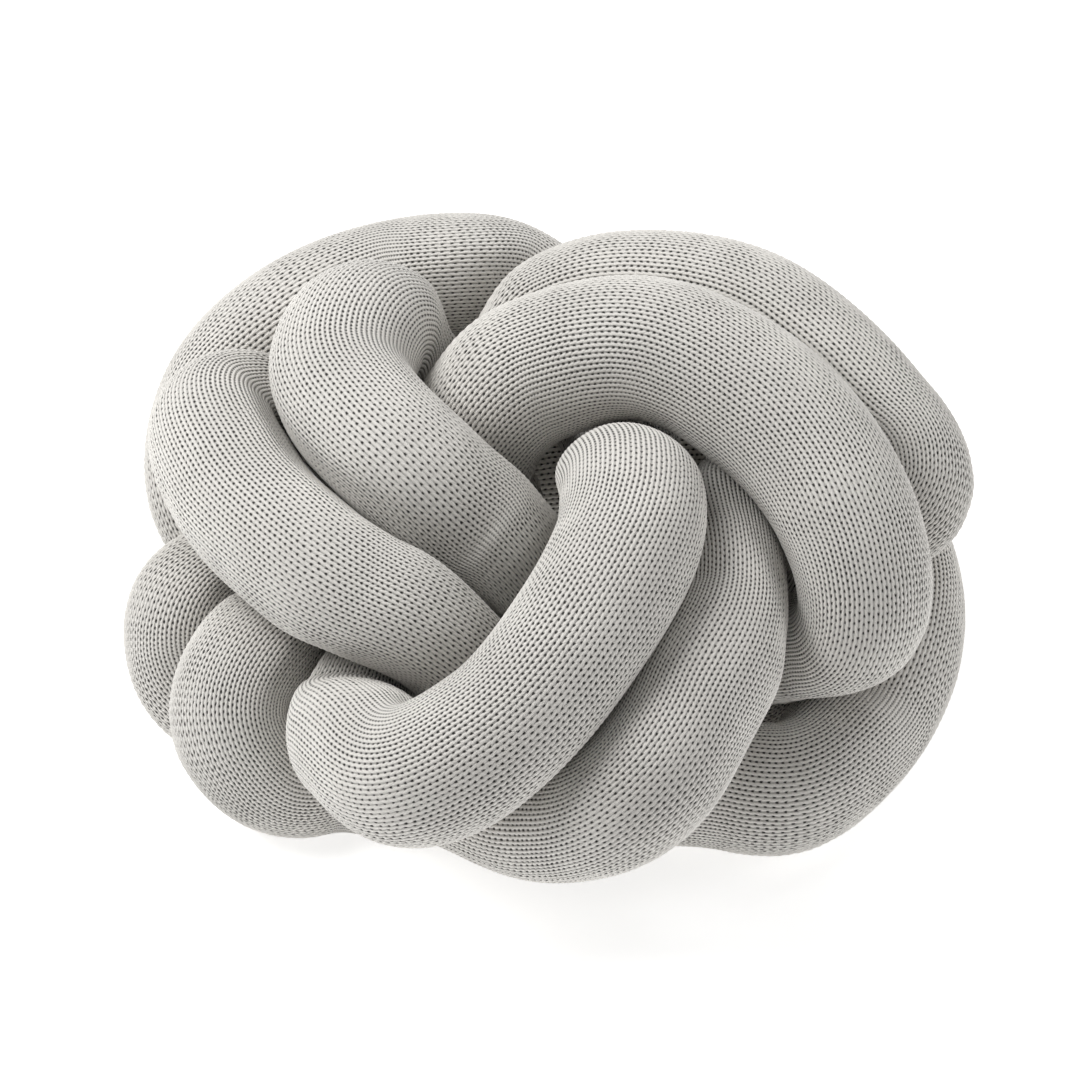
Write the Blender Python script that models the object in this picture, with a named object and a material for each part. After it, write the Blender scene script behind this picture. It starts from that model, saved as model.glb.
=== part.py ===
"""Knot cushion: one long knitted tube, filled, closed on itself and pulled into a flattened ball.

Lengths are metres, +Z is up and the cushion lies on z = 0. The table of bends is in
millimetres. Each of the three arms shows three turns of the tube side by side.
"""

from collections import namedtuple

import bpy
import numpy as np

# ---- sizes that drive the shape ----
MM = 0.001
TUBE_RADIUS = 0.0265         # the filled tube where nothing presses on it
RINGS = 288                  # rings of points along the tube
SIDES = 20                   # points round each ring
NODES = 360                  # beads used to settle the path
SETTLE_STEPS = 160
PRESS = 0.92                 # how far two turns may press into each other
WALL_GAP = 0.0014            # clear air kept between neighbouring turns
FLAT_BOTTOM = 0.0            # height of the floor the cushion lies on
BOX_MIDDLE = (0.0001, 0.0036)  # middle of the ball as laid out, moved to the origin
SINK = 0.9                   # lowest a turn's middle may lie, in radii
TILT = np.radians(45.0)      # slope of the line along which sight values are taken

# One row for each bend of the tube, in order along it. across: to the right. sight: back
# plus height, which is the place up the picture when looked at from 45 degrees above.
# height: of the middle of the tube. radius: half its thickness there, less where it is
# squeezed inside the ball. held: 1 where the bend shows and has to stay where it is seen.
Bend = namedtuple("Bend", "run across sight height radius held")
BENDS = (
    Bend("left_3", -117, 105, 46, 21, 1),
    Bend("left_3", -112, 153, 63, 23, 1),
    Bend("left_3", -84, 190, 85, 26, 1),
    Bend("left_3", -40, 208, 91, 26, 1),
    Bend("left_3", -12, 203, 78, 24, 1),
    Bend("left_3", 22, 145, 66, 14, 0),
    Bend("front_1", 33, 112, 82, 14, 0),
    Bend("front_1", 28, 111, 104, 22, 1),
    Bend("front_1", 31, 86, 119, 26, 1),
    Bend("front_1", 15, 38, 117, 26, 1),
    Bend("front_1", -14, -13, 99, 26, 1),
    Bend("front_1", -46, -36, 80, 26, 1),
    Bend("front_1", -63, -21, 70, 26, 1),
    Bend("front_1", -66, 2, 54, 22, 1),
    Bend("front_1", -48, 68, 54, 12, 0),
    Bend("right_1", -30, 124, 84, 19, 0),
    Bend("right_1", -21, 147, 102, 24, 1),
    Bend("right_1", -5, 164, 115, 26, 1),
    Bend("right_1", 36, 175, 129, 26, 1),
    Bend("right_1", 80, 143, 124, 26, 1),
    Bend("right_1", 106, 88, 106, 26, 1),
    Bend("right_1", 109, 47, 88, 26, 1),
    Bend("right_1", 87, 25, 60, 22, 1),
    Bend("right_1", 28, 18, 60, 12, 0),
    Bend("left_1", 2, 50, 72, 15, 0),
    Bend("left_1", -12, 67, 94, 25, 1),
    Bend("left_1", -45, 108, 117, 26, 1),
    Bend("left_1", -73, 155, 119, 26, 1),
    Bend("left_1", -66, 183, 117, 25, 1),
    Bend("left_1", -46, 172, 88, 20, 1),
    Bend("left_1", -30, 140, 54, 13, 0),
    Bend("left_1", -16, 48, 30, 25, 0),
    Bend("left_1", 20, 48, 26, 26, 0),
    Bend("left_1", 56, 70, 26, 26, 0),
    Bend("left_1", 71, 90, 57, 21, 0),
    Bend("front_2", 58, 86, 80, 23, 0),
    Bend("front_2", 64, 46, 85, 26, 1),
    Bend("front_2", 50, 0, 86, 26, 1),
    Bend("front_2", 31, -41, 76, 26, 1),
    Bend("front_2", 2, -54, 52, 26, 1),
    Bend("front_2", -48, -30, 28, 20, 0),
    Bend("front_2", -90, -32, 27, 24, 1),
    Bend("front_2", -108, -8, 44, 26, 1),
    Bend("front_2", -92, 30, 53, 25, 1),
    Bend("front_2", -77, 56, 42, 14, 0),
    Bend("front_3", -82, 0, 22, 12, 0),
    Bend("front_3", -118, 8, 23, 23, 1),
    Bend("front_3", -124, 39, 39, 25, 1),
    Bend("front_3", -112, 62, 46, 19, 1),
    Bend("front_3", -74, 86, 52, 14, 0),
    Bend("right_2", -34, 122, 58, 13, 0),
    Bend("right_2", -15, 168, 86, 22, 1),
    Bend("right_2", 5, 189, 98, 25, 1),
    Bend("right_2", 30, 199, 109, 26, 1),
    Bend("right_2", 72, 190, 112, 26, 1),
    Bend("right_2", 113, 140, 100, 26, 1),
    Bend("right_2", 126, 102, 86, 25, 1),
    Bend("right_2", 98, 72, 64, 20, 0),
    Bend("right_2", 76, 4, 26, 20, 0),
    Bend("right_2", 6, 3, 52, 16, 0),
    Bend("left_2", -31, 19, 64, 21, 0),
    Bend("left_2", -49, 38, 81, 26, 1),
    Bend("left_2", -74, 61, 98, 26, 1),
    Bend("left_2", -104, 98, 98, 26, 1),
    Bend("left_2", -115, 134, 96, 26, 1),
    Bend("left_2", -102, 143, 88, 21, 1),
    Bend("left_2", -74, 106, 50, 15, 0),
    Bend("left_2", -40, 106, 24, 24, 0),
    Bend("right_3", 20, 118, 24, 26, 0),
    Bend("right_3", 84, 122, 42, 26, 0),
    Bend("right_3", 119, 72, 44, 26, 1),
    Bend("right_3", 122, 24, 37, 26, 1),
    Bend("right_3", 108, -14, 29, 26, 1),
    Bend("right_3", 85, -41, 24, 26, 1),
    Bend("right_3", 60, -38, 24, 24, 1),
    Bend("right_3", 0, -26, 22, 22, 0),
    Bend("right_3", -50, 20, 22, 20, 0),
    Bend("right_3", -98, 68, 26, 17, 0),
)


def bend_points():
    """Return the middle points of the bends, their radii and which of them are held."""
    rows = np.array([bend[1:] for bend in BENDS], float)
    points = np.stack([rows[:, 0], rows[:, 1] - rows[:, 2], rows[:, 2]], 1) * MM
    return points, rows[:, 3] * MM, rows[:, 4]


def closed_curve(points, count):
    """Return count points evenly along the smooth closed curve through the points.

    The second value says where each one lies in the list of points.
    """
    total = len(points)
    chord = np.linalg.norm(np.roll(points, -1, 0) - points, axis=1) ** 0.5
    step = np.linspace(0.0, 1.0, 24, endpoint=False)[:, None]
    dense = []
    place = []
    for i in range(total):
        p0, p1, p2, p3 = (points[(i + k) % total] for k in (-1, 0, 1, 2))
        d1, d2, d3 = (chord[(i + k) % total] for k in (-1, 0, 1))
        out = ((p1 - p0) / d1 - (p2 - p0) / (d1 + d2) + (p2 - p1) / d2) * d2
        into = ((p2 - p1) / d2 - (p3 - p1) / (d2 + d3) + (p3 - p2) / d3) * d2
        square = step * step
        cube = square * step
        dense.append((2 * cube - 3 * square + 1) * p1 + (cube - 2 * square + step) * out
                     + (3 * square - 2 * cube) * p2 + (cube - square) * into)
        place.append(i + step[:, 0])
    dense = np.vstack(dense + [points[:1]])
    place = np.append(np.concatenate(place), total)
    length = np.append(0.0, np.cumsum(np.linalg.norm(np.diff(dense, axis=0), axis=1)))
    at = np.linspace(0.0, length[-1], count, endpoint=False)
    curve = np.stack([np.interp(at, length, dense[:, axis]) for axis in range(3)], 1)
    return curve, np.interp(at, length, place)


def along(values, place):
    """Return values given at the bends for the places between them."""
    return np.interp(place, np.arange(len(values) + 1), np.append(values, values[0]))


def loop_distance(count):
    """Return how many steps apart each pair of a closed row of count items is."""
    index = np.arange(count)
    apart = np.abs(index[:, None] - index[None])
    return np.minimum(apart, count - apart)


def settle(home, radius, held):
    """Push the turns of the tube apart until they only press on each other.

    The radius grows to its full size on the way, so that no turn slips through another.
    Held parts move along the line of sight more easily than across it.
    """
    count = len(home)
    sight = np.array([0.0, -np.cos(TILT), np.sin(TILT)])
    apart = loop_distance(count)
    spacing = np.linalg.norm(np.roll(home, -1, 0) - home, axis=1).mean()
    arc = apart * spacing
    bow = np.roll(home, 1, 0) + np.roll(home, -1, 0) - 2 * home
    small = np.minimum(radius, 8 * MM)
    held = held[:, None]
    x = home.copy()
    for step in range(SETTLE_STEPS):
        growth = min(1.0, 2 * (step + 1) / SETTLE_STEPS)
        r = small + (radius - small) * growth
        reach = (r[:, None] + r[None]) * PRESS
        bend = np.minimum(r[:, None], r[None]) * 0.9
        turn = np.minimum(arc / (2 * bend), np.pi / 2)
        wanted = np.minimum(reach, 2 * bend * np.sin(turn))
        wanted[apart < 3] = 0.0
        change = np.roll(x, 1, 0) + np.roll(x, -1, 0) - 2 * x - bow
        x = x - 0.02 * (np.roll(change, 1, 0) + np.roll(change, -1, 0) - 2 * change)
        back = home - x
        depth = (back @ sight)[:, None] * sight
        x = x + held * (0.15 * (back - depth) + 0.01 * depth) + (1 - held) * 0.01 * back
        for _ in range(2):
            link = np.roll(x, -1, 0) - x
            size = np.linalg.norm(link, axis=1)
            move = link * (0.15 * (size - spacing) / size)[:, None]
            x = x + move - np.roll(move, 1, 0)
            gap = x[:, None] - x[None]
            far = np.sqrt((gap ** 2).sum(-1)) + 1e-12
            press = np.maximum(wanted - far, 0.0)
            hits = np.maximum((press > 0).sum(1), 1)
            push = (gap * (press / far)[..., None]).sum(1) * (0.5 / hits ** 0.6)[:, None]
            deep = (push @ sight)[:, None] * sight
            x = x + deep + (push - deep) * (1 - 0.6 * held)
            x[:, 2] = np.maximum(x[:, 2], r * SINK)
    return x


def cross_directions(path):
    """Return two directions across the tube for each point, without twist along the loop."""
    ahead = np.roll(path, -1, 0) - np.roll(path, 1, 0)
    ahead /= np.linalg.norm(ahead, axis=1)[:, None]
    side = np.zeros_like(path)
    carried = np.cross(ahead[0], [0.0, 0.0, 1.0])
    for i in range(len(path)):
        carried = carried - ahead[i] * (carried @ ahead[i])
        carried /= np.linalg.norm(carried)
        side[i] = carried
    closing = carried - ahead[0] * (carried @ ahead[0])
    other = np.cross(ahead[0], side[0])
    miss = np.arctan2(closing @ other, closing @ side[0])
    turn = -miss * np.arange(len(path)) / len(path)
    other = np.cross(ahead, side)
    first = side * np.cos(turn)[:, None] + other * np.sin(turn)[:, None]
    return first, np.cross(ahead, first)


def smallest_near(values):
    """Return the least of each value and its eight neighbours on the closed grid."""
    rows = np.minimum(np.minimum(np.roll(values, 1, 0), np.roll(values, -1, 0)), values)
    return np.minimum(np.minimum(np.roll(rows, 1, 1), np.roll(rows, -1, 1)), rows)


def mean_near(values):
    """Return the mean of each value and its eight neighbours on the closed grid."""
    rows = (np.roll(values, 1, 0) + np.roll(values, -1, 0) + values) / 3
    return (np.roll(rows, 1, 1) + np.roll(rows, -1, 1) + rows) / 3


def tube_surface(path, radius):
    """Return the surface points: round where free, flat where another turn presses."""
    first, second = cross_directions(path)
    angle = 2 * np.pi * np.arange(SIDES) / SIDES
    out = (first[:, None] * np.cos(angle)[None, :, None]
           + second[:, None] * np.sin(angle)[None, :, None])
    gap = path[None] - path[:, None]
    far = np.sqrt((gap ** 2).sum(-1))
    spacing = far[0, 1]
    near = loop_distance(len(path)) * spacing < 3.0 * TUBE_RADIUS
    share = radius[:, None] / (radius[:, None] + radius[None])
    wall = np.where(near, 0.47 * far, share * far - WALL_GAP / 2)
    np.fill_diagonal(far, 1.0)
    reach = np.full((len(path), SIDES), TUBE_RADIUS)
    for k in range(SIDES):
        facing = (out[:, k][:, None] * gap).sum(-1) / far
        np.fill_diagonal(facing, 0.0)
        limit = np.where(facing > 1e-6, wall / np.maximum(facing, 1e-6), 1.0)
        reach[:, k] = np.minimum(reach[:, k], limit.min(1))
    reach = mean_near(smallest_near(reach))
    points = path[:, None] + out * reach[..., None]
    points[..., 2] = np.maximum(points[..., 2], FLAT_BOTTOM)
    points[..., :2] -= BOX_MIDDLE
    return points


def add_tube(name, points, material):
    """Add the closed tube as one mesh object."""
    rings, sides, _ = points.shape
    index = np.arange(rings * sides).reshape(rings, sides)
    ahead = np.roll(index, -1, 0)
    quads = np.stack([index, np.roll(index, -1, 1), np.roll(ahead, -1, 1), ahead], -1)
    mesh = bpy.data.meshes.new(name)
    mesh.from_pydata(points.reshape(-1, 3).tolist(), [], quads.reshape(-1, 4).tolist())
    mesh.materials.append(material)
    mesh.polygons.foreach_set("use_smooth", [True] * len(mesh.polygons))
    mesh.update()
    obj = bpy.data.objects.new(name, mesh)
    bpy.context.scene.collection.objects.link(obj)
    return obj


def knit_material():
    """Return the pale warm grey wool finish."""
    material = bpy.data.materials.new("knit")
    material.use_nodes = True
    shader = material.node_tree.nodes["Principled BSDF"]
    shader.inputs["Base Color"].default_value = (0.62, 0.60, 0.57, 1.0)
    shader.inputs["Roughness"].default_value = 0.9
    shader.inputs["Metallic"].default_value = 0.0
    return material


def tube_path():
    """Return the settled middle line of the tube and its radius, ring by ring."""
    bends, radii, held = bend_points()
    home, place = closed_curve(bends, NODES)
    radius = along(radii, place)
    settled = settle(home, radius, along(held, place))
    path, spot = closed_curve(settled, RINGS)
    return path, along(radius, spot)


def main():
    """Clear the scene and build the cushion."""
    for obj in list(bpy.data.objects):
        bpy.data.objects.remove(obj, do_unlink=True)
    path, radius = tube_path()
    add_tube("knotted_tube", tube_surface(path, radius), knit_material())


main()
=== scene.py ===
"""Looks of the knot cushion: one long filled tube of fine knit, wound into a flattened ball.

The tube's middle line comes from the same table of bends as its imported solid. A skin of knitted
stitches follows that line in nine lengths, which meet inside the ball or under it, and loose
fibres stand off it. Lengths are metres unless a name says otherwise.
"""

import logging
from dataclasses import dataclass, field
from enum import Enum
from typing import NamedTuple

import bpy
import numpy as np
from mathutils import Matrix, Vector


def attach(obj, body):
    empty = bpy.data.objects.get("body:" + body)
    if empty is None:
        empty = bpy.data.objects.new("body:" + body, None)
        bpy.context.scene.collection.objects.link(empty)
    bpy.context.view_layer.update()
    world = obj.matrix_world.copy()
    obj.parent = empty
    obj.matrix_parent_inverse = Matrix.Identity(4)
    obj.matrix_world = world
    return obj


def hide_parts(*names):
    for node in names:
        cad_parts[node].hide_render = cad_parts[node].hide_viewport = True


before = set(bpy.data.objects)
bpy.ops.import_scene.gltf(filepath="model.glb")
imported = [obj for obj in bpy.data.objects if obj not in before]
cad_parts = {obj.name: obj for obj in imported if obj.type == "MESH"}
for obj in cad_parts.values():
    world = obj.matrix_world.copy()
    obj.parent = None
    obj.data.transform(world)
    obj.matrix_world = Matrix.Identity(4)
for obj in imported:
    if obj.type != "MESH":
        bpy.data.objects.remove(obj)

LOG = logging.getLogger("knot_cushion")
MM = 0.001
FULL_TURN = 2 * np.pi
WALES = 43
NEARLY_ZERO = 1e-12
# The middle of a noise's values, and the part of their range where most of them lie.
NOISE_MIDDLE = 0.5
NOISE_RANGE = (0.3, 0.7)


class Bend(NamedTuple):
    """One bend of the tube in millimetres, as in the solid's table.

    across is to the right, sight is back plus height, height is that of the tube's middle,
    radius is half its thickness, and held is 1 where the bend shows from the front.
    """

    run: str
    across: float
    sight: float
    height: float
    radius: float
    held: int


BENDS = (
    Bend("left_3", -117, 105, 46, 21, 1),
    Bend("left_3", -112, 153, 63, 23, 1),
    Bend("left_3", -84, 190, 85, 26, 1),
    Bend("left_3", -40, 208, 91, 26, 1),
    Bend("left_3", -12, 203, 78, 24, 1),
    Bend("left_3", 22, 145, 66, 14, 0),
    Bend("front_1", 33, 112, 82, 14, 0),
    Bend("front_1", 28, 111, 104, 22, 1),
    Bend("front_1", 31, 86, 119, 26, 1),
    Bend("front_1", 15, 38, 117, 26, 1),
    Bend("front_1", -14, -13, 99, 26, 1),
    Bend("front_1", -46, -36, 80, 26, 1),
    Bend("front_1", -63, -21, 70, 26, 1),
    Bend("front_1", -66, 2, 54, 22, 1),
    Bend("front_1", -48, 68, 54, 12, 0),
    Bend("right_1", -30, 124, 84, 19, 0),
    Bend("right_1", -21, 147, 102, 24, 1),
    Bend("right_1", -5, 164, 115, 26, 1),
    Bend("right_1", 36, 175, 129, 26, 1),
    Bend("right_1", 80, 143, 124, 26, 1),
    Bend("right_1", 106, 88, 106, 26, 1),
    Bend("right_1", 109, 47, 88, 26, 1),
    Bend("right_1", 87, 25, 60, 22, 1),
    Bend("right_1", 28, 18, 60, 12, 0),
    Bend("left_1", 2, 50, 72, 15, 0),
    Bend("left_1", -12, 67, 94, 25, 1),
    Bend("left_1", -45, 108, 117, 26, 1),
    Bend("left_1", -73, 155, 119, 26, 1),
    Bend("left_1", -66, 183, 117, 25, 1),
    Bend("left_1", -46, 172, 88, 20, 1),
    Bend("left_1", -30, 140, 54, 13, 0),
    Bend("left_1", -16, 48, 30, 25, 0),
    Bend("left_1", 20, 48, 26, 26, 0),
    Bend("left_1", 56, 70, 26, 26, 0),
    Bend("left_1", 71, 90, 57, 21, 0),
    Bend("front_2", 58, 86, 80, 23, 0),
    Bend("front_2", 64, 46, 85, 26, 1),
    Bend("front_2", 50, 0, 86, 26, 1),
    Bend("front_2", 31, -41, 76, 26, 1),
    Bend("front_2", 2, -54, 52, 26, 1),
    Bend("front_2", -48, -30, 28, 20, 0),
    Bend("front_2", -90, -32, 27, 24, 1),
    Bend("front_2", -108, -8, 44, 26, 1),
    Bend("front_2", -92, 30, 53, 25, 1),
    Bend("front_2", -77, 56, 42, 14, 0),
    Bend("front_3", -82, 0, 22, 12, 0),
    Bend("front_3", -118, 8, 23, 23, 1),
    Bend("front_3", -124, 39, 39, 25, 1),
    Bend("front_3", -112, 62, 46, 19, 1),
    Bend("front_3", -74, 86, 52, 14, 0),
    Bend("right_2", -34, 122, 58, 13, 0),
    Bend("right_2", -15, 168, 86, 22, 1),
    Bend("right_2", 5, 189, 98, 25, 1),
    Bend("right_2", 30, 199, 109, 26, 1),
    Bend("right_2", 72, 190, 112, 26, 1),
    Bend("right_2", 113, 140, 100, 26, 1),
    Bend("right_2", 126, 102, 86, 25, 1),
    Bend("right_2", 98, 72, 64, 20, 0),
    Bend("right_2", 76, 4, 26, 20, 0),
    Bend("right_2", 6, 3, 52, 16, 0),
    Bend("left_2", -31, 19, 64, 21, 0),
    Bend("left_2", -49, 38, 81, 26, 1),
    Bend("left_2", -74, 61, 98, 26, 1),
    Bend("left_2", -104, 98, 98, 26, 1),
    Bend("left_2", -115, 134, 96, 26, 1),
    Bend("left_2", -102, 143, 88, 21, 1),
    Bend("left_2", -74, 106, 50, 15, 0),
    Bend("left_2", -40, 106, 24, 24, 0),
    Bend("right_3", 20, 118, 24, 26, 0),
    Bend("right_3", 84, 122, 42, 26, 0),
    Bend("right_3", 119, 72, 44, 26, 1),
    Bend("right_3", 122, 24, 37, 26, 1),
    Bend("right_3", 108, -14, 29, 26, 1),
    Bend("right_3", 85, -41, 24, 26, 1),
    Bend("right_3", 60, -38, 24, 24, 1),
    Bend("right_3", 0, -26, 22, 22, 0),
    Bend("right_3", -50, 20, 22, 20, 0),
    Bend("right_3", -98, 68, 26, 17, 0),
)

# The runs of the tube after whose last bend one length of skin ends and the next begins.
# Each of these places lies inside the ball or under it.
LENGTH_ENDS = ("left_3", "front_1", "right_1", "left_1", "front_2", "front_3", "right_2", "left_2",
               "right_3")


def wrapped(values: np.ndarray, at: np.ndarray) -> np.ndarray:
    """Read a closed row of values smoothly between its items.

    Args:
        values: items along the first axis, the last one followed by the first.
        at: places in the row, whole numbers being the items themselves.

    Returns:
        One value for each place.
    """
    base = np.floor(at).astype(int)
    f = at - base
    weights = (
        0.5 * (2 * f * f - f - f ** 3),
        0.5 * (3 * f ** 3 - 5 * f * f + 2),
        0.5 * (4 * f * f + f - 3 * f ** 3),
        0.5 * (f ** 3 - f * f),
    )
    extra = (None,) * (values.ndim - 1)
    total = len(values)
    return sum(w[(...,) + extra] * values[(base + k - 1) % total]
               for k, w in enumerate(weights))


def ramp(low: float, high: float, value: np.ndarray) -> np.ndarray:
    """Return 0 below low, 1 above high and a smooth rise between them."""
    f = np.clip((value - low) / (high - low), 0.0, 1.0)
    return f * f * (3 - 2 * f)


def calm(values: np.ndarray) -> np.ndarray:
    """Return the mean of each value and its eight neighbours on a closed grid."""
    rows = (np.roll(values, 1, 0) + np.roll(values, -1, 0) + values) / 3
    return (np.roll(rows, 1, 1) + np.roll(rows, -1, 1) + rows) / 3


def least(values: np.ndarray) -> np.ndarray:
    """Return the least of each value and its eight neighbours on a closed grid."""
    rows = np.minimum(np.minimum(np.roll(values, 1, 0), np.roll(values, -1, 0)), values)
    return np.minimum(np.minimum(np.roll(rows, 1, 1), np.roll(rows, -1, 1)), rows)


@dataclass(frozen=True)
class TubePath:
    """The course of the filled tube through the ball, worked out as for its solid."""

    radius: float = 0.0265
    beads: int = 360
    curve_steps: int = 24
    settle_steps: int = 160
    # Shares of the radius: how near turns lie, how low they lie and how sharply they bend.
    press: float = 0.92
    sink: float = 0.9
    bend_limit: float = 0.9
    # Shares of each miss that one step puts right.
    stiffness: float = 0.02
    hold: float = 0.15
    drift_back: float = 0.01
    link_pull: float = 0.15
    push_share: float = 0.5
    held_share: float = 0.6
    crowding: float = 0.6
    # Rounds of pushes in one step, and how many beads along the tube don't push each other.
    rounds: int = 2
    linked_beads: int = 3
    first_radius: float = 8 * MM
    tilt: float = np.radians(45.0)
    box_middle: tuple[float, float] = (0.0001, 0.0036)

    def bend_values(self) -> tuple[np.ndarray, np.ndarray, np.ndarray]:
        """Read the table of bends.

        Returns:
            The bends' middle points, their radii and which are held.
        """
        rows = np.array([bend[1:] for bend in BENDS], float)
        points = np.stack([rows[:, 0], rows[:, 1] - rows[:, 2], rows[:, 2]], 1) * MM
        return points, rows[:, 3] * MM, rows[:, 4]

    def curve(self, points: np.ndarray, count: int) -> tuple[np.ndarray, np.ndarray]:
        """Lay a smooth closed curve through points.

        Args:
            points: the points, in order round the loop.
            count: how many evenly spaced points are wanted.

        Returns:
            The points along the curve, and where each lies in the given list.
        """
        total = len(points)
        chord = np.linalg.norm(np.roll(points, -1, 0) - points, axis=1) ** 0.5
        step = np.linspace(0.0, 1.0, self.curve_steps, endpoint=False)[:, None]
        dense = []
        place = []
        for i in range(total):
            p0, p1, p2, p3 = (points[(i + k) % total] for k in (-1, 0, 1, 2))
            d1, d2, d3 = (chord[(i + k) % total] for k in (-1, 0, 1))
            out = ((p1 - p0) / d1 - (p2 - p0) / (d1 + d2) + (p2 - p1) / d2) * d2
            into = ((p2 - p1) / d2 - (p3 - p1) / (d2 + d3) + (p3 - p2) / d3) * d2
            square = step * step
            cube = square * step
            dense.append((2 * cube - 3 * square + 1) * p1 + (cube - 2 * square + step) * out
                         + (3 * square - 2 * cube) * p2 + (cube - square) * into)
            place.append(i + step[:, 0])
        dense = np.vstack(dense + [points[:1]])
        place = np.append(np.concatenate(place), total)
        length = np.append(0.0, np.cumsum(np.linalg.norm(np.diff(dense, axis=0), axis=1)))
        at = np.linspace(0.0, length[-1], count, endpoint=False)
        curve = np.stack([np.interp(at, length, dense[:, axis]) for axis in range(3)], 1)
        return curve, np.interp(at, length, place)

    def spread(self, values: np.ndarray, place: np.ndarray) -> np.ndarray:
        """Return values given at the bends for the places between them."""
        return np.interp(place, np.arange(len(values) + 1), np.append(values, values[0]))

    def steps_apart(self, count: int) -> np.ndarray:
        """Count the steps between the items of a closed row.

        Args:
            count: how many items the row has.

        Returns:
            The number of steps between each pair, the shorter way round.
        """
        index = np.arange(count)
        apart = np.abs(index[:, None] - index[None])
        return np.minimum(apart, count - apart)

    def settled(self, home: np.ndarray, radius: np.ndarray, held: np.ndarray) -> np.ndarray:
        """Push the turns apart until they only press on each other.

        Args:
            home: the beads of the middle line, as laid out.
            radius: the tube's radius at each bead.
            held: 1 where a bead has to stay where it is seen.

        Returns:
            The beads at rest.
        """
        sight = np.array([0.0, -np.cos(self.tilt), np.sin(self.tilt)])
        apart = self.steps_apart(len(home))
        spacing = np.linalg.norm(np.roll(home, -1, 0) - home, axis=1).mean()
        arc = apart * spacing
        bow = np.roll(home, 1, 0) + np.roll(home, -1, 0) - 2 * home
        small = np.minimum(radius, self.first_radius)
        held = held[:, None]
        x = home.copy()
        for step in range(self.settle_steps):
            # The tube has its full size from halfway on.
            growth = min(1.0, 2 * (step + 1) / self.settle_steps)
            r = small + (radius - small) * growth
            reach = (r[:, None] + r[None]) * self.press
            bend = np.minimum(r[:, None], r[None]) * self.bend_limit
            turn = np.minimum(arc / (2 * bend), np.pi / 2)
            wanted = np.minimum(reach, 2 * bend * np.sin(turn))
            wanted[apart < self.linked_beads] = 0.0
            change = np.roll(x, 1, 0) + np.roll(x, -1, 0) - 2 * x - bow
            curl = np.roll(change, 1, 0) + np.roll(change, -1, 0) - 2 * change
            x = x - self.stiffness * curl
            back = home - x
            depth = (back @ sight)[:, None] * sight
            x = (x + held * (self.hold * (back - depth) + self.drift_back * depth)
                 + (1 - held) * self.drift_back * back)
            for _ in range(self.rounds):
                link = np.roll(x, -1, 0) - x
                size = np.linalg.norm(link, axis=1)
                move = link * (self.link_pull * (size - spacing) / size)[:, None]
                x = x + move - np.roll(move, 1, 0)
                gap = x[:, None] - x[None]
                far = np.sqrt((gap ** 2).sum(-1)) + NEARLY_ZERO
                press = np.maximum(wanted - far, 0.0)
                hits = np.maximum((press > 0).sum(1), 1)
                share = self.push_share / hits ** self.crowding
                push = (gap * (press / far)[..., None]).sum(1) * share[:, None]
                deep = (push @ sight)[:, None] * sight
                x = x + deep + (push - deep) * (1 - self.held_share * held)
                x[:, 2] = np.maximum(x[:, 2], r * self.sink)
        return x

    def cross_directions(self, path: np.ndarray) -> tuple[np.ndarray, np.ndarray]:
        """Work out two directions across the tube at each point, without twist.

        Args:
            path: the middle line.

        Returns:
            The direction at angle 0, and the one at a right angle to it.
        """
        ahead = np.roll(path, -1, 0) - np.roll(path, 1, 0)
        ahead /= np.linalg.norm(ahead, axis=1)[:, None]
        side = np.zeros_like(path)
        carried = np.cross(ahead[0], [0.0, 0.0, 1.0])
        for i in range(len(path)):
            carried = carried - ahead[i] * (carried @ ahead[i])
            carried /= np.linalg.norm(carried)
            side[i] = carried
        closing = carried - ahead[0] * (carried @ ahead[0])
        other = np.cross(ahead[0], side[0])
        miss = np.arctan2(closing @ other, closing @ side[0])
        turn = -miss * np.arange(len(path)) / len(path)
        other = np.cross(ahead, side)
        first = side * np.cos(turn)[:, None] + other * np.sin(turn)[:, None]
        return first, np.cross(ahead, first)

    def rings(self, count: int) -> tuple[np.ndarray, np.ndarray, np.ndarray]:
        """Work out the settled tube, ring by ring.

        Args:
            count: how many rings are wanted.

        Returns:
            The middle line, its radii and its places among the bends.
        """
        bends, radii, held = self.bend_values()
        home, place = self.curve(bends, self.beads)
        radius = self.spread(radii, place)
        settled = self.settled(home, radius, self.spread(held, place))
        path, spot = self.curve(settled, count)
        return path, self.spread(radius, spot), self.spread(place, spot)


class ColumnShape(NamedTuple):
    """How one column of points lies in the knit: its shift is in courses, heights in mm."""

    shift: float
    valley: float
    crest: float


class Column(Enum):
    """The columns of points across one wale, which is one column of stitches."""

    BETWEEN_WALES = ColumnShape(-0.13, -0.50, -0.06)
    LEG = ColumnShape(0.26, -0.08, 0.16)
    STITCH_MIDDLE = ColumnShape(0.64, -0.44, -0.06)


WALE_COLUMNS = (Column.BETWEEN_WALES, Column.LEG, Column.STITCH_MIDDLE, Column.LEG)


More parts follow.
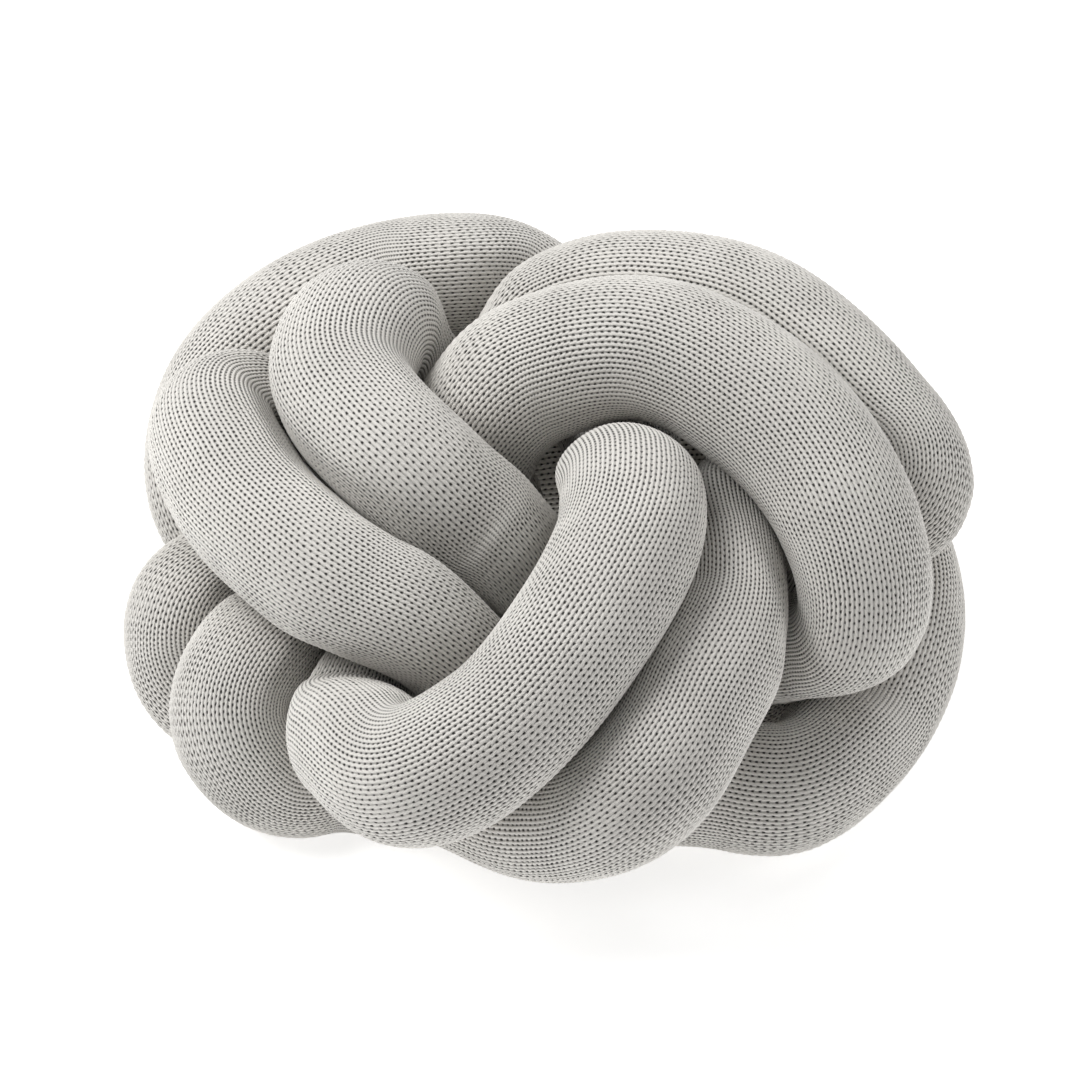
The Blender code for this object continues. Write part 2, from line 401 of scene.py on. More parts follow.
@dataclass
class KnittedSkin:
    """The knitted tube's surface, stitch by stitch, made in lengths that meet in the ball."""

    path: TubePath
    wales: int = WALES
    course: float = 0.0026
    rings: int = 720
    sides: int = 60
    wall_gap: float = 0.0009
    rows_per_course: int = 2
    # Neighbours nearer along the tube than this many radii press on it as one bend.
    own_bend: float = 3.0
    bend_share: float = 0.47
    # The least that a side faces a neighbour that presses on it, its reach where none does,
    # and how many times a hollow is widened and then smoothed.
    least_facing: float = 1e-6
    unpressed: float = 1.0
    easing: int = 2
    # Where a side's reach counts as pressed and as free, and a ring's free share as hidden
    # and as shown, with how many rings beyond are laid as closely and the pace when hidden.
    side_free: tuple[float, float] = (0.82, 0.97)
    ring_shown: tuple[float, float] = (0.05, 0.3)
    shown_margin: int = 3
    hidden_pace: float = 0.22
    # Shares that a pressed side and the widest side have in a ring's pace.
    pressed_weight: float = 0.001
    widest_weight: float = 0.4
    pace_smoothing: int = 8
    # The stretch at which the relief starts and is full, and the height that clears the floor.
    relief_stretch: tuple[float, float] = (0.45, 1.0)
    floor_clearance: float = 0.006
    points: np.ndarray = field(init=False)
    normals: np.ndarray = field(init=False)
    stretch: np.ndarray = field(init=False)
    ends: list[int] = field(init=False)
    courses: int = field(init=False)

    def __post_init__(self) -> None:
        """Work out every point of the skin."""
        path, radius, place = self.path.rings(self.rings)
        first, second = self.path.cross_directions(path)
        reach = self.reach(path, radius, first, second)
        laid = self.laying(path, first, second, reach)
        self.courses = round(laid[-1])
        self.raise_stitches(self.surface(path, first, second, reach, laid))
        self.ends = self.length_ends(place, laid)

    def surface(self, path: np.ndarray, first: np.ndarray, second: np.ndarray,
                reach: np.ndarray, laid: np.ndarray) -> np.ndarray:
        """Work out where each point of the knit's grid lies, before its relief.

        Args:
            path: the middle line.
            first: the direction across the tube at angle 0.
            second: the direction across it at a right angle to the first.
            reach: how far the skin stands off, for each ring and side.
            laid: the number of courses laid up to each ring.

        Returns:
            The points, in rows along the tube and columns round it.
        """
        across = self.wale_angles(path, first, second, reach)
        rows = self.courses * self.rows_per_course
        shift = np.array([c.value.shift for c in WALE_COLUMNS] * self.wales)
        number = (np.arange(rows)[:, None] / self.rows_per_course - shift) % self.courses
        at = np.interp(number, laid, np.arange(self.rings + 1))
        angle = self.grid_values(across, at)
        far = self.grid_values(self.column_reach(reach, across), at)
        middle = wrapped(path, at)
        out = (wrapped(first, at) * np.cos(angle)[..., None]
               + wrapped(second, at) * np.sin(angle)[..., None])
        points = middle + out * far[..., None]
        points[..., 2] = np.maximum(points[..., 2], 0.0)
        points[..., :2] -= self.path.box_middle
        return points

    def raise_stitches(self, points: np.ndarray) -> None:
        """Raise the stitches on the surface and keep its points, normals and stretch.

        Args:
            points: the surface before its relief.
        """
        along = np.roll(points, -1, 0) - np.roll(points, 1, 0)
        around = np.roll(points, -1, 1) - np.roll(points, 1, 1)
        normals = np.cross(around, along)
        normals /= np.linalg.norm(normals, axis=-1)[..., None]
        self.stretch = calm(np.linalg.norm(along, axis=-1) * self.rows_per_course / 2
                            / self.course)
        relief = np.array([[c.value.valley for c in WALE_COLUMNS] * self.wales,
                           [c.value.crest for c in WALE_COLUMNS] * self.wales]) * MM
        height = np.tile(relief, (self.courses, 1)) * ramp(*self.relief_stretch, self.stretch)
        height *= ramp(0.0, self.floor_clearance, points[..., 2])
        self.normals = normals
        self.points = points + normals * height[..., None]

    def side_angles(self) -> np.ndarray:
        """Return the angle of each side of a ring."""
        return FULL_TURN * np.arange(self.sides) / self.sides

    def laying(self, path: np.ndarray, first: np.ndarray, second: np.ndarray,
               reach: np.ndarray) -> np.ndarray:
        """Lay the courses so that they are even on the side of the tube that shows.

        Args:
            path: the middle line.
            first: the direction across the tube at angle 0.
            second: the direction across it at a right angle to the first.
            reach: how far the skin stands off, for each ring and side.

        Returns:
            The number of courses laid from the start to each ring, ending on a whole one.
        """
        angle = self.side_angles()
        out = (first[:, None] * np.cos(angle)[None, :, None]
               + second[:, None] * np.sin(angle)[None, :, None])
        skin = path[:, None] + out * reach[..., None]
        step = np.linalg.norm(np.roll(skin, -1, 0) - skin, axis=-1)
        free = ramp(*self.side_free, reach / self.path.radius)
        weight = free + self.pressed_weight
        outer = (step * weight).sum(1) / weight.sum(1)
        shown = ramp(*self.ring_shown, free.mean(1))
        for _ in range(self.shown_margin):
            shown = np.maximum(shown, np.maximum(np.roll(shown, 1), np.roll(shown, -1)))
        pace = (1 - self.widest_weight) * outer + self.widest_weight * step.max(1)
        pace *= self.hidden_pace + (1 - self.hidden_pace) * shown
        for _ in range(self.pace_smoothing):
            pace = (pace + np.roll(pace, 1) + np.roll(pace, -1)) / 3
        laid = np.concatenate([[0.0], np.cumsum(pace)]) / self.course
        return laid / laid[-1] * round(laid[-1])

    def reach(self, path: np.ndarray, radius: np.ndarray, first: np.ndarray,
              second: np.ndarray) -> np.ndarray:
        """Work out how far the skin stands off the middle line.

        Args:
            path: the middle line.
            radius: the tube's radius along it, which sets how turns share a space.
            first: the direction across the tube at angle 0.
            second: the direction across it at a right angle to the first.

        Returns:
            The distance for each ring and each of the sides round it.
        """
        angle = self.side_angles()
        gap = path[None] - path[:, None]
        far = np.sqrt((gap ** 2).sum(-1))
        near = self.path.steps_apart(len(path)) * far[0, 1] < self.own_bend * self.path.radius
        share = radius[:, None] / (radius[:, None] + radius[None])
        wall = np.where(near, self.bend_share * far, share * far - self.wall_gap / 2)
        np.fill_diagonal(far, 1.0)
        toward = gap / far[..., None]
        reach = np.full((len(path), self.sides), self.path.radius)
        for k, turn in enumerate(angle):
            out = first * np.cos(turn) + second * np.sin(turn)
            facing = np.einsum("rk,rok->ro", out, toward)
            np.fill_diagonal(facing, 0.0)
            limit = np.where(facing > self.least_facing,
                             wall / np.maximum(facing, self.least_facing), self.unpressed)
            reach[:, k] = np.minimum(reach[:, k], limit.min(1))
        for _ in range(self.easing):
            reach = least(reach)
        for _ in range(self.easing):
            reach = calm(reach)
        return reach

    def wale_angles(self, path: np.ndarray, first: np.ndarray, second: np.ndarray,
                    reach: np.ndarray) -> np.ndarray:
        """Space the wales evenly round each ring, as the cloth spreads on its filling.

        Args:
            path: the middle line.
            first: the direction across the tube at angle 0; not used.
            second: the direction across it at a right angle to the first; not used.
            reach: how far the skin stands off, for each ring and side.

        Returns:
            The angle of each column of points on each ring.
        """
        angle = FULL_TURN * np.arange(self.sides + 1) / self.sides
        closed = np.concatenate([reach, reach[:, :1]], 1)
        flat = np.stack([closed * np.cos(angle), closed * np.sin(angle)], -1)
        arc = np.cumsum(np.linalg.norm(np.diff(flat, axis=1), axis=-1), axis=1)
        arc = np.concatenate([np.zeros((len(path), 1)), arc], 1)
        arc = arc / arc[:, -1:] * FULL_TURN
        arc = arc - (arc - angle)[:, :-1].mean(1)[:, None]
        columns = self.wales * len(WALE_COLUMNS)
        wanted = FULL_TURN * np.arange(columns) / columns
        return np.stack([self.read_round(wanted, row, angle) for row in arc])

    def read_round(self, wanted: np.ndarray, arc: np.ndarray, angle: np.ndarray) -> np.ndarray:
        """Find the angles at which the arc length round one ring has the wanted values.

        Args:
            wanted: the arc lengths, as shares of a full turn in radians.
            arc: the arc length at each of the ring's sides, in the same measure.
            angle: the angle of each of those sides.

        Returns:
            One angle for each wanted arc length.
        """
        arcs = np.concatenate([arc[:-1] - FULL_TURN, arc[:-1], arc + FULL_TURN])
        angles = np.concatenate([angle[:-1] - FULL_TURN, angle[:-1], angle + FULL_TURN])
        return np.interp(wanted, arcs, angles)

    def column_reach(self, reach: np.ndarray, across: np.ndarray) -> np.ndarray:
        """Return the reach at each column's angle on each ring."""
        at = across / FULL_TURN * self.sides
        return np.stack([wrapped(row, spots) for row, spots in zip(reach, at)])

    def grid_values(self, values: np.ndarray, at: np.ndarray) -> np.ndarray:
        """Read ring values at each point's own place along the tube, column by column."""
        return np.stack([wrapped(values[:, j], at[:, j]) for j in range(values.shape[1])], 1)

    def length_ends(self, place: np.ndarray, laid: np.ndarray) -> list[int]:
        """Find the rows at which one length of skin ends and the next begins.

        Args:
            place: where each ring lies among the bends.
            laid: the number of courses laid up to each ring.

        Returns:
            The rows, in order.
        """
        last = {bend.run: i for i, bend in enumerate(BENDS)}
        rings = [int(np.abs(place - last[run]).argmin()) for run in LENGTH_ENDS]
        return sorted(round(laid[ring]) * self.rows_per_course for ring in rings)

    def build(self, finish: bpy.types.Material) -> list[bpy.types.Object]:
        """Make the lengths of skin.

        Args:
            finish: the knit's material.

        Returns:
            One object for each length.
        """
        made = []
        total = len(self.points)
        for number, start in enumerate(self.ends):
            stop = self.ends[(number + 1) % len(self.ends)]
            count = (stop - start) % total
            rows = (start + np.arange(count + 1)) % total
            made.append(self.length(f"knit_length_{number + 1}", rows, finish))
        return made

    def length(self, name: str, rows: np.ndarray, finish: bpy.types.Material
               ) -> bpy.types.Object:
        """Make one length of skin.

        Args:
            name: the object's name.
            rows: the rows of points in it, in order.
            finish: the knit's material.

        Returns:
            The object, with its stitch numbers and its stretch as attributes.
        """
        columns = self.points.shape[1]
        index = np.arange(len(rows) * columns).reshape(len(rows), columns)
        right = np.roll(index, -1, 1)
        quads = np.stack([index[:-1], right[:-1], right[1:], index[1:]], -1).reshape(-1, 4)
        mesh = bpy.data.meshes.new(name)
        mesh.vertices.add(index.size)
        mesh.vertices.foreach_set("co", self.points[rows].astype(np.float32).ravel())
        mesh.loops.add(quads.size)
        mesh.loops.foreach_set("vertex_index", quads.astype(np.int32).ravel())
        mesh.polygons.add(len(quads))
        mesh.polygons.foreach_set("loop_start", np.arange(0, quads.size, 4, dtype=np.int32))
        mesh.polygons.foreach_set("use_smooth", np.ones(len(quads), bool))
        mesh.update(calc_edges=True)
        self.number_stitches(mesh, len(rows), columns, int(rows[0]))
        stretch = mesh.attributes.new("stretch", "FLOAT", "POINT")
        stretch.data.foreach_set("value", self.stretch[rows].astype(np.float32).ravel())
        mesh.materials.append(finish)
        piece = bpy.data.objects.new(name, mesh)
        bpy.context.scene.collection.objects.link(piece)
        return piece

    def number_stitches(self, mesh: bpy.types.Mesh, rows: int, columns: int,
                        start: int) -> None:
        """Write each face corner's wale and course number as an attribute.

        Args:
            mesh: the length's mesh.
            rows: how many rows of points it has.
            columns: how many columns of points it has.
            start: the number of its first row.
        """
        shift = np.array([c.value.shift for c in WALE_COLUMNS] * (self.wales + 1))
        column = np.arange(columns + 1)
        course = (start + np.arange(rows))[:, None] / self.rows_per_course - shift[None, column]
        wale = np.broadcast_to(column / len(WALE_COLUMNS), course.shape)
        stitch = np.stack([wale, -course, np.zeros_like(course)], -1)
        corners = np.stack([stitch[:-1, :-1], stitch[:-1, 1:], stitch[1:, 1:],
                            stitch[1:, :-1]], 2)
        numbers = mesh.attributes.new("stitch", "FLOAT_VECTOR", "CORNER")
        numbers.data.foreach_set("vector", corners.astype(np.float32).ravel())


@dataclass(frozen=True)
class LooseFibres:
    """Fine fibre ends that stand off the knit all over."""

    count: int = 2700
    thickness: float = 0.00007
    shortest: float = 0.0012
    longest: float = 0.0042
    joints: int = 4
    sides: int = 3
    # How steeply the strands stand, how far they bow over and curl, and how thin their ends get.
    lift: tuple[float, float] = (0.1, 0.75)
    lean: float = 0.5
    bow: float = 0.45
    curl: float = 0.5
    curl_reach: float = 0.6
    taper: float = 0.7
    seed: int = 7

    def build(self, skin: KnittedSkin, finish: bpy.types.Material) -> bpy.types.Object:
        """Make the fibres as one mesh of thin three-sided strands.

        Args:
            skin: the knitted skin they grow from.
            finish: the fibres' material.

        Returns:
            The object.
        """
        dice = np.random.default_rng(self.seed)
        rows = dice.integers(0, skin.points.shape[0], self.count)
        columns = dice.integers(0, skin.points.shape[1], self.count)
        root = skin.points[rows, columns]
        normal = skin.normals[rows, columns]
        drift = dice.normal(size=(self.count, 3))
        drift -= normal * (drift * normal).sum(1)[:, None]
        drift /= np.linalg.norm(drift, axis=1)[:, None]
        lift = dice.uniform(*self.lift, self.count)[:, None]
        curl = dice.normal(size=(self.count, 3)) * self.curl
        size = dice.uniform(self.shortest, self.longest, self.count)[:, None]
        step = np.arange(self.joints) / (self.joints - 1)
        spine = [root + size * f * (drift * (1 - lift * self.lean)
                                    + normal * lift * (1 - self.bow * f)
                                    + curl * f * f * self.curl_reach) for f in step]
        spine = np.stack(spine, 1)
        spine[..., 2] = np.maximum(spine[..., 2], self.thickness)
        other = np.cross(drift, normal)
        angle = FULL_TURN * np.arange(self.sides) / self.sides
        across = (normal[:, None] * np.cos(angle)[None, :, None]
                  + other[:, None] * np.sin(angle)[None, :, None]) * self.thickness / 2
        slim = (1 - self.taper * step)[None, :, None, None]
        points = spine[:, :, None] + across[:, None] * slim
        return self.mesh(points, finish)

    def mesh(self, points: np.ndarray, finish: bpy.types.Material) -> bpy.types.Object:
        """Join the strands' rings of points into one closed-ended mesh.

        Args:
            points: the points, by strand, joint and side.
            finish: the fibres' material.

        Returns:
            The object.
        """
        count, joints, sides, _ = points.shape
        index = np.arange(points.size // 3).reshape(count, joints, sides)
        nxt = np.roll(index, -1, 2)
        walls = np.stack([index[:, :-1], nxt[:, :-1], nxt[:, 1:], index[:, 1:]], -1)
        ends = np.concatenate([index[:, 0, ::-1], index[:, -1]])
        mesh = bpy.data.meshes.new("loose_fibres")
        mesh.from_pydata(points.reshape(-1, 3).tolist(), [],
                         walls.reshape(-1, 4).tolist() + ends.tolist())
        mesh.materials.append(finish)
        piece = bpy.data.objects.new("loose_fibres", mesh)
        bpy.context.scene.collection.objects.link(piece)
        return piece


class Value:
    """A number in a shader: arithmetic on it adds the Math nodes that work it out."""

    def __init__(self, graph: "Graph", socket: bpy.types.NodeSocket) -> None:
        """Keep the graph and the socket that gives the number."""
        self.graph = graph
        self.socket = socket

    def __add__(self, other: "Number") -> "Value":
        """Return the sum."""
        return self.graph.math("ADD", self, other)

    def __radd__(self, other: "Number") -> "Value":
        """Return the sum."""
        return self.graph.math("ADD", other, self)

    def __sub__(self, other: "Number") -> "Value":
        """Return the difference."""
        return self.graph.math("SUBTRACT", self, other)

    def __rsub__(self, other: "Number") -> "Value":
        """Return the difference, the other way round."""
        return self.graph.math("SUBTRACT", other, self)

    def __mul__(self, other: "Number") -> "Value":
        """Return the product."""
        return self.graph.math("MULTIPLY", self, other)

    def __rmul__(self, other: "Number") -> "Value":
        """Return the product."""
        return self.graph.math("MULTIPLY", other, self)

    def __abs__(self) -> "Value":
        """Return the size without its sign."""
        return self.graph.math("ABSOLUTE", self)

    def fraction(self) -> "Value":
        """Return what is left over the whole number below."""
        return self.graph.math("FRACT", self)

    def whole(self) -> "Value":
        """Return the whole number below."""
        return self.graph.math("FLOOR", self)

    def most(self, other: "Number") -> "Value":
        """Return the larger of two."""
        return self.graph.math("MAXIMUM", self, other)

    def least(self, other: "Number") -> "Value":
        """Return the smaller of two."""
        return self.graph.math("MINIMUM", self, other)

    def rise(self, low: float, high: float) -> "Value":
        """Return 0 below low, 1 above high and a smooth rise between them."""
        return self.graph.node("ShaderNodeMapRange", {"interpolation_type": "SMOOTHSTEP"},
                               {0: self, 1: low, 2: high})


Number = Value | float


class Graph:
    """The nodes of one material."""

    def __init__(self, name: str) -> None:
        """Start a material with a Principled shader."""
        self.material = bpy.data.materials.new(name)
        self.material.use_nodes = True
        self.tree = self.material.node_tree
        self.shader = self.tree.nodes["Principled BSDF"]

    def node(self, kind: str, settings: dict[str, object], inputs: dict[int | str, object],
             output: int | str = 0) -> Value:
        """Add a node.

        Args:
            kind: the node's type.
            settings: its properties, which are set first.
            inputs: the value or the link of each of its sockets.
            output: the socket that is read.

        Returns:
            That output.
        """
        made = self.tree.nodes.new(kind)
        for name, value in settings.items():
            setattr(made, name, value)
        for key, value in inputs.items():
            self.feed(made.inputs[key], value)
        return Value(self, made.outputs[output])

    def feed(self, socket: bpy.types.NodeSocket, value: object) -> None:
        """Link a value to a socket, or set the socket to it.

        Args:
            socket: the input socket.
            value: another socket's number, or a plain number or colour.
        """
        if isinstance(value, Value):
            self.tree.links.new(value.socket, socket)
        else:
            socket.default_value = value

    def math(self, operation: str, *values: Number) -> Value:
        """Return the result of one Math node."""
        return self.node("ShaderNodeMath", {"operation": operation}, dict(enumerate(values)))

    def parts(self, vector: Value) -> tuple[Value, Value, Value]:
        """Return the three numbers of a vector."""
        made = self.node("ShaderNodeSeparateXYZ", {}, {0: vector}).socket.node
        return tuple(Value(self, made.outputs[k]) for k in range(3))

    def mix(self, factor: Number, low: object, high: object) -> Value:
        """Return a colour between two."""
        return self.node("ShaderNodeMix", {"data_type": "RGBA"}, {0: factor, 6: low, 7: high}, 2)

    def attribute(self, name: str, channel: str) -> Value:
        """Return what the mesh holds under a name."""
        return self.node("ShaderNodeAttribute", {"attribute_name": name}, {}, channel)

    def noise(self, scale: float, detail: float, channel: str = "Fac") -> Value:
        """Return soft noise over the piece, from its own coordinates."""
        place = self.node("ShaderNodeTexCoord", {}, {}, "Object")
        return self.node("ShaderNodeTexNoise", {"noise_dimensions": "3D"},
                         {"Vector": place, "Scale": scale, "Detail": detail}, channel)


@dataclass(frozen=True)
class YarnFinish:
    """The pale warm grey yarn, as a plain matt fibre."""

    name: str = "loose_yarn"
    colour: tuple[float, float, float, float] = (0.70, 0.68, 0.64, 1.0)
    roughness: float = 0.9
    dullest: float = 0.86
    noise_scale: float = 300.0

    def material(self) -> bpy.types.Material:
        """Make the material.

        Returns:
            The material, a little duller in some places than in others.
        """
        graph = Graph(self.name)
        shade = graph.noise(self.noise_scale, 1.0).rise(*NOISE_RANGE)
        dull = tuple(self.dullest * c for c in self.colour[:3]) + (1.0,)
        graph.feed(graph.shader.inputs["Base Color"], graph.mix(shade, dull, self.colour))
        graph.feed(graph.shader.inputs["Roughness"], self.roughness)
        return graph.material


@dataclass(frozen=True)
class KnitFinish:
    """Fine plain knit: slanting yarn legs, painted shade in the hollows at the columns' edges and
    in the grooves between legs, soft fuzz.
    """

    name: str = "fine_knit"
    yarn: tuple[float, float, float, float] = (0.84, 0.814, 0.767, 1.0)
    worn: tuple[float, float, float, float] = (0.66, 0.637, 0.598, 1.0)
    # Painted shade: the near-black that stands for the shadow inside the hollows between the legs.
    hollow_shade: tuple[float, float, float, float] = (0.035, 0.032, 0.028, 1.0)
    # Painted shade: the grey that stands for the shadow in the grooves along the wale lines and in
    # the notches between legs.
    groove_shade: tuple[float, float, float, float] = (0.25, 0.24, 0.223, 1.0)
    roughness: float = 0.88
    sheen: float = 0.25
    sheen_roughness: float = 0.6
    specular: float = 0.25
    # In courses: how far a leg climbs across half a wale, where its crest is at the wale's
    # edge, and where a hollow's middle lies above that crest.
    slant: float = 0.77
    crest: float = 0.37
    hollow_place: float = 0.54
    # Shares of a leg's climb that go straight up and that ease in and out.
    climb: tuple[float, float] = (0.45, 0.55)
    # In wales and in courses: how unevenly the stitches lie.
    wale_noise: float = 0.16
    course_noise: float = 0.5
    course_sway: float = 0.3
    # The lines between legs, which get painted shade: where they fade, how dark they are, and how
    # much of it is chance.
    line_fade: tuple[float, float] = (0.02, 0.19)
    line_weight: float = 0.5
    line_luck: float = 0.24
    # The notch where one leg ends and the next begins: its start, its middle and its end, and how
    # much painted shade darkens it and how much lower it is.
    notch_place: tuple[float, float, float] = (0.2, 0.5, 0.8)
    notch_shade: float = 0.06
    notch_depth: float = 0.22
    # The hollows: where they fade up and down, from the line between wales and from a
    # stitch's middle, and the least stretch that counts.
    hollow_fade: tuple[float, float] = (0.1, 0.27)
    between_fade: tuple[float, float] = (0.08, 0.3)
    middle_fade: tuple[float, float] = (0.05, 0.25)
    least_stretch: float = 0.9
    # The least share of a hollow's painted shade that is left, and the share that stretch, chance
    # and noise can add to it.
    stretch_range: tuple[float, float] = (0.3, 0.9)
    stretch_shares: tuple[float, float] = (0.55, 0.45)
    luck_shares: tuple[float, float] = (0.65, 0.35)
    swell_shares: tuple[float, float] = (0.7, 0.6)
    hollow_gain: float = 1.5
    # Where, in courses, the chance of one hollow gives way to that of the next.
    luck_place: float = 0.26
    # How far in a leg is rounded, and depths against the relief.
    leg_round: float = 0.4
    fibre_depth: float = 0.12
    hollow_depth: float = 1.1
    # How much of the yarn's shade comes from broad patches and from single fibres.
    patch_share: float = 0.45
    fibre_share: float = 0.55
    # The scales of the noises, from the cloth's broad patches to single fibres.
    patch_scale: float = 26.0
    sway_scale: float = 55.0
    stitch_scale: float = 90.0
    fibre_scale: float = 2600.0
    relief: float = 0.00045

    def material(self) -> bpy.types.Material:
        """Make the material.

        Returns:
            The material, which reads the stitch numbers and the stretch of the skin.
        """
        graph = Graph(self.name)
        stretch = graph.attribute("stretch", "Fac")
        wale, course, _ = graph.parts(graph.attribute("stitch", "Vector"))
        sway = graph.noise(self.sway_scale, 2.0) - NOISE_MIDDLE
        lean, slide, swell = graph.parts(graph.noise(self.stitch_scale, 2.0, "Color"))
        wale = wale + (lean - NOISE_MIDDLE) * self.wale_noise
        course = course + (slide - NOISE_MIDDLE) * self.course_noise + sway * self.course_sway
        side = 1 - abs(2 * wale.fraction() - 1)
        straight, eased = self.climb
        rise = self.crest + self.slant * (straight * side + eased * side.rise(0.0, 1.0))
        turn = (course - rise).fraction()
        luck = self.luck(graph, wale, course)
        hollow_shade = self.hollows(side, turn, luck, stretch, swell)
        edge = side.least(1 - side)
        line = (1 - edge.rise(*self.line_fade)) * (self.line_weight + self.line_luck * luck)
        start, middle, end = self.notch_place
        notch = turn.rise(start, middle) * (1 - turn.rise(middle, end))
        fine = graph.noise(self.fibre_scale, 2.0)
        patchy = graph.noise(self.patch_scale, 3.0).rise(*NOISE_RANGE)
        shade = patchy * self.patch_share + fine.rise(*NOISE_RANGE) * self.fibre_share
        yarn = graph.mix(shade, self.worn, self.yarn)
        # Painted shade: the grooves along the wale lines and the notches between legs are darkened
        # towards grey.
        painted_groove_shade = (line + notch * self.notch_shade).least(1.0)
        colour = graph.mix(painted_groove_shade, yarn, self.groove_shade)
        # Painted shade: the hollows between the legs are darkened to near black.
        colour = graph.mix(hollow_shade, colour, self.hollow_shade)
        graph.feed(graph.shader.inputs["Base Color"], colour)
        round_leg = (1 - notch * self.notch_depth) * edge.rise(0.0, self.leg_round)
        height = round_leg + self.fibre_depth * fine - self.hollow_depth * hollow_shade
        bump = graph.node("ShaderNodeBump", {}, {"Strength": 1.0, "Distance": self.relief,
                                                 "Height": height})
        graph.feed(graph.shader.inputs["Normal"], bump)
        graph.feed(graph.shader.inputs["Roughness"], self.roughness)
        graph.feed(graph.shader.inputs["Sheen Weight"], self.sheen)
        graph.feed(graph.shader.inputs["Sheen Roughness"], self.sheen_roughness)
        graph.feed(graph.shader.inputs["Specular IOR Level"], self.specular)
        return graph.material

    def luck(self, graph: Graph, wale: Value, course: Value) -> Value:
        """Draw lots for the hollows, of which each wale has two in a course.

        Args:
            graph: the material's nodes.
            wale: the place across, in wales.
            course: the place along, in courses.

        Returns:
            A random number for each hollow.
        """
        column = graph.math("MODULO", (2 * wale + 0.5).whole(), 2.0 * WALES)
        row = (course - self.luck_place).whole()
        cell = graph.node("ShaderNodeCombineXYZ", {}, {0: column, 1: row})
        return graph.node("ShaderNodeTexWhiteNoise", {"noise_dimensions": "2D"},
                          {"Vector": cell}, "Value")

    def hollows(self, side: Value, turn: Value, luck: Value, stretch: Value,
                swell: Value) -> Value:
        """Work out how much painted shade darkens each point where the legs leave a hollow between
        them.

        Args:
            side: 0 between two wales and 1 at a stitch's middle.
            turn: the place from one leg to the next, 0 and 1 on their crests.
            luck: a random number for each stitch.
            stretch: how long a course is here, against one that lies easy.
            swell: soft noise that makes some places closer than others.

        Returns:
            1 in the hollow and 0 on the yarn.
        """
        offset = abs(turn - self.hollow_place) * stretch.most(self.least_stretch)
        span = 1 - offset.rise(*self.hollow_fade)
        between = 1 - side.rise(*self.between_fade)
        middle = 1 - (1 - side).rise(*self.middle_fade)
        depth = (self.share(self.stretch_shares, stretch.rise(*self.stretch_range))
                 * self.share(self.luck_shares, luck))
        depth = depth * self.share(self.swell_shares, swell)
        return (span * between.most(middle) * depth * self.hollow_gain).least(1.0)

    def share(self, shares: tuple[float, float], value: Value) -> Value:
        """Return the first share, and as much of the second as the value says."""
        return shares[0] + shares[1] * value


class Lamp(NamedTuple):
    """One soft square lamp: where it stands and its power in watts."""

    name: str
    place: tuple[float, float, float]
    power: float


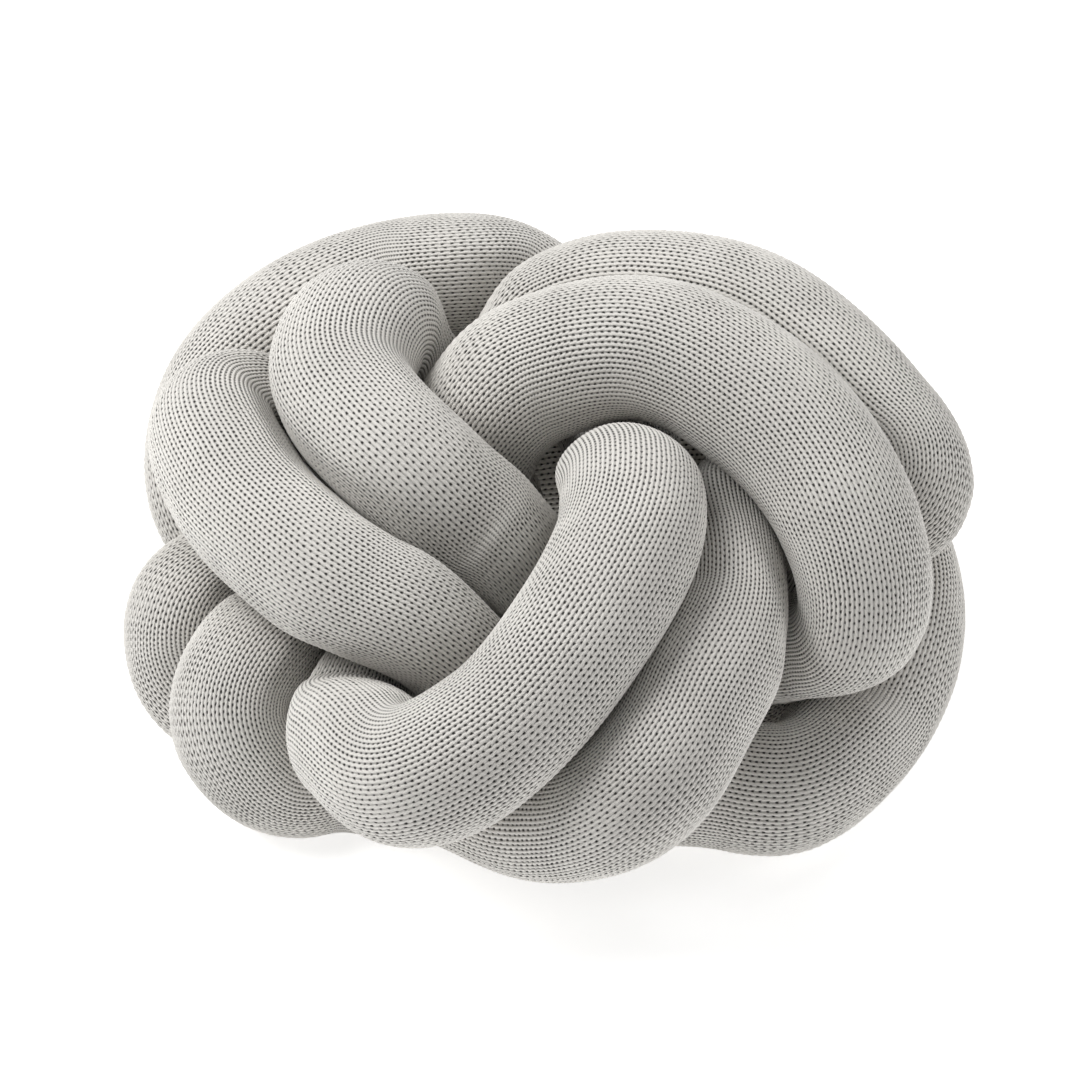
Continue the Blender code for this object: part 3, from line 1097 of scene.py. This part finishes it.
@dataclass(frozen=True)
class Studio:
    """The pale floor, the soft light and the camera of the photograph."""

    lamps: tuple[Lamp, ...] = (
        Lamp("key_lamp", (-1.29, 0.0, 1.6), 26.0),
        Lamp("front_lamp", (0.0, -1.29, 1.6), 2.5),
        Lamp("back_left_lamp", (-0.91, 0.91, 1.6), 15.0),
        Lamp("back_right_lamp", (0.91, 0.91, 1.6), 9.0),
        Lamp("right_lamp", (1.88, 0.0, 0.75), 10.0),
    )
    lamp_side: float = 1.0
    floor_side: float = 40.0
    floor_shade: float = 0.9
    floor_glow: float = 0.58
    air_glow: float = 0.10
    target: tuple[float, float, float] = (-0.0022, 0.001, 0.075)
    elevation: float = 45.0
    distance: float = 6.0
    picture_width: float = 0.3846
    sensor: float = 36.0

    def build(self) -> None:
        """Make the camera, the floor and the lights."""
        self.camera()
        self.floor()
        for lamp in self.lamps:
            self.light(lamp)
        self.air()
        bpy.context.scene.view_settings.view_transform = "Standard"

    def camera(self) -> None:
        """Make the camera and aim it along the photograph's line of sight."""
        angle = np.radians(self.elevation)
        back = Vector((0.0, -np.cos(angle), np.sin(angle)))
        data = bpy.data.cameras.new("photo_camera")
        data.sensor_width = self.sensor
        data.lens = self.sensor * self.distance / self.picture_width
        data.clip_end = 4 * self.distance
        camera = bpy.data.objects.new("photo_camera", data)
        camera.location = Vector(self.target) + back * self.distance
        camera.rotation_euler = (-back).to_track_quat("-Z", "Y").to_euler()
        bpy.context.scene.collection.objects.link(camera)
        bpy.context.scene.camera = camera

    def floor(self) -> None:
        """Make the wide pale floor."""
        bpy.ops.object.select_all(action="DESELECT")
        bpy.ops.mesh.primitive_plane_add(size=self.floor_side, location=(0.0, 0.0, 0.0))
        floor = bpy.context.object
        floor.name = "floor"
        graph = Graph("white_floor")
        graph.feed(graph.shader.inputs["Base Color"], (self.floor_shade,) * 3 + (1.0,))
        graph.feed(graph.shader.inputs["Roughness"], 1.0)
        graph.feed(graph.shader.inputs["Emission Color"], (1.0, 1.0, 1.0, 1.0))
        graph.feed(graph.shader.inputs["Emission Strength"], self.floor_glow)
        floor.data.materials.append(graph.material)

    def light(self, lamp: Lamp) -> None:
        """Add one lamp, which looks at the cushion.

        Args:
            lamp: its name, place and power.
        """
        data = bpy.data.lights.new(lamp.name, "AREA")
        data.size = self.lamp_side
        data.energy = lamp.power
        light = bpy.data.objects.new(lamp.name, data)
        light.location = lamp.place
        aim = Vector(self.target) - Vector(lamp.place)
        light.rotation_euler = aim.to_track_quat("-Z", "Y").to_euler()
        bpy.context.scene.collection.objects.link(light)

    def air(self) -> None:
        """Fill the room with soft white light."""
        world = bpy.data.worlds.new("white_room")
        world.use_nodes = True
        world.node_tree.nodes["Background"].inputs["Color"].default_value = (1, 1, 1, 1)
        world.node_tree.nodes["Background"].inputs["Strength"].default_value = self.air_glow
        bpy.context.scene.world = world


def main() -> None:
    """Build the cushion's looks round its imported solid."""
    logging.basicConfig(level=logging.INFO, format="%(name)s: %(message)s")
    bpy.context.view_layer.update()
    Studio().build()
    skin = KnittedSkin(TubePath())
    for piece in skin.build(KnitFinish().material()):
        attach(piece, "root")
        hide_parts("knotted_tube")
        LOG.info("%s: %d faces", piece.name, len(piece.data.polygons))
    fibres = LooseFibres().build(skin, YarnFinish().material())
    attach(fibres, "root")
    LOG.info("%s: %d faces", fibres.name, len(fibres.data.polygons))


if __name__ == "__main__":
    main()
